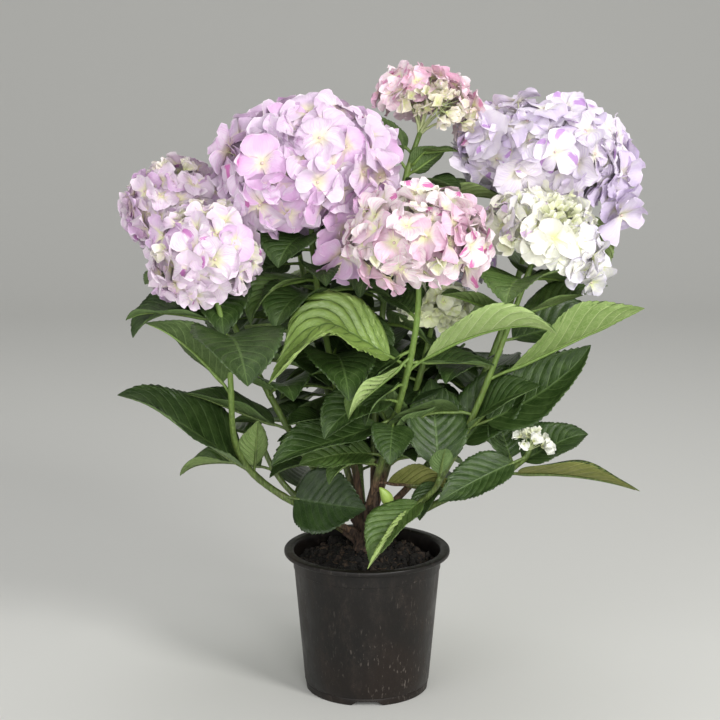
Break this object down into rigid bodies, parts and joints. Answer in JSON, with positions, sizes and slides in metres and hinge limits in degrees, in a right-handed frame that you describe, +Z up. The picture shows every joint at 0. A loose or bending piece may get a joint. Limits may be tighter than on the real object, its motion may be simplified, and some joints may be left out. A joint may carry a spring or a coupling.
{
  "type": "potted hydrangea shrub",
  "caption": "Mophead hydrangea shrub in a plain black nursery pot: woody stool, arching green shoots, broad opposite leaves and rounded lilac, pink and cream flower heads.",
  "frame": {"origin": "middle of the pot's flat underside, where it meets the ground", "axes": "+Z up along the pot's axis, -Y towards the side seen in the picture, +X to its right"},
  "size_m": [0.5778, 0.4338, 0.7067],
  "materials": {
    "pot_plastic": "matte",
    "potting_soil": "matte",
    "bark": "matte",
    "green_stem": "satin",
    "leaf": "satin",
    "petals_left_front": "matte",
    "petals_front": "matte",
    "petals_right": "matte",
    "petals_low_right": "matte",
    "petals_young": "matte",
    "petals_top": "matte",
    "petals_right_top": "matte",
    "petals_large": "matte",
    "petals_left_back": "matte",
    "petals_back_left": "matte",
    "petals_back_right": "matte"
  },
  "bodies": {
    "root": {"pot": "pot_plastic", "soil": "potting_soil", "woody_base": "bark", "stem_left_front": "green_stem", "stem_front": "green_stem", "stem_right": "green_stem", "stem_low_right": "green_stem", "stem_low_front": "green_stem", "stem_young": "green_stem", "stem_top": "green_stem", "stem_right_top": "green_stem", "stem_large": "green_stem", "stem_left_back": "green_stem", "stem_back_left": "green_stem", "stem_back_right": "green_stem", "stem_low_back": "green_stem", "stem_low_left": "green_stem", "leaves_left_front": "leaf", "leaves_front": "leaf", "leaves_right": "leaf", "leaves_low_right": "leaf", "leaves_low_front": "leaf", "leaves_young": "leaf", "leaves_top": "leaf", "leaves_right_top": "leaf", "leaves_large": "leaf", "leaves_left_back": "leaf", "leaves_back_left": "leaf", "leaves_back_right": "leaf", "leaves_low_back": "leaf", "leaves_low_left": "leaf", "bloom_left_front": "petals_left_front", "bloom_front": "petals_front", "bloom_right": "petals_right", "bloom_low_right": "petals_low_right", "bloom_young": "petals_young", "bloom_top": "petals_top", "bloom_right_top": "petals_right_top", "bloom_large": "petals_large", "bloom_left_back": "petals_left_back", "bloom_back_left": "petals_back_left", "bloom_back_right": "petals_back_right"}
  },
  "joints": []
}
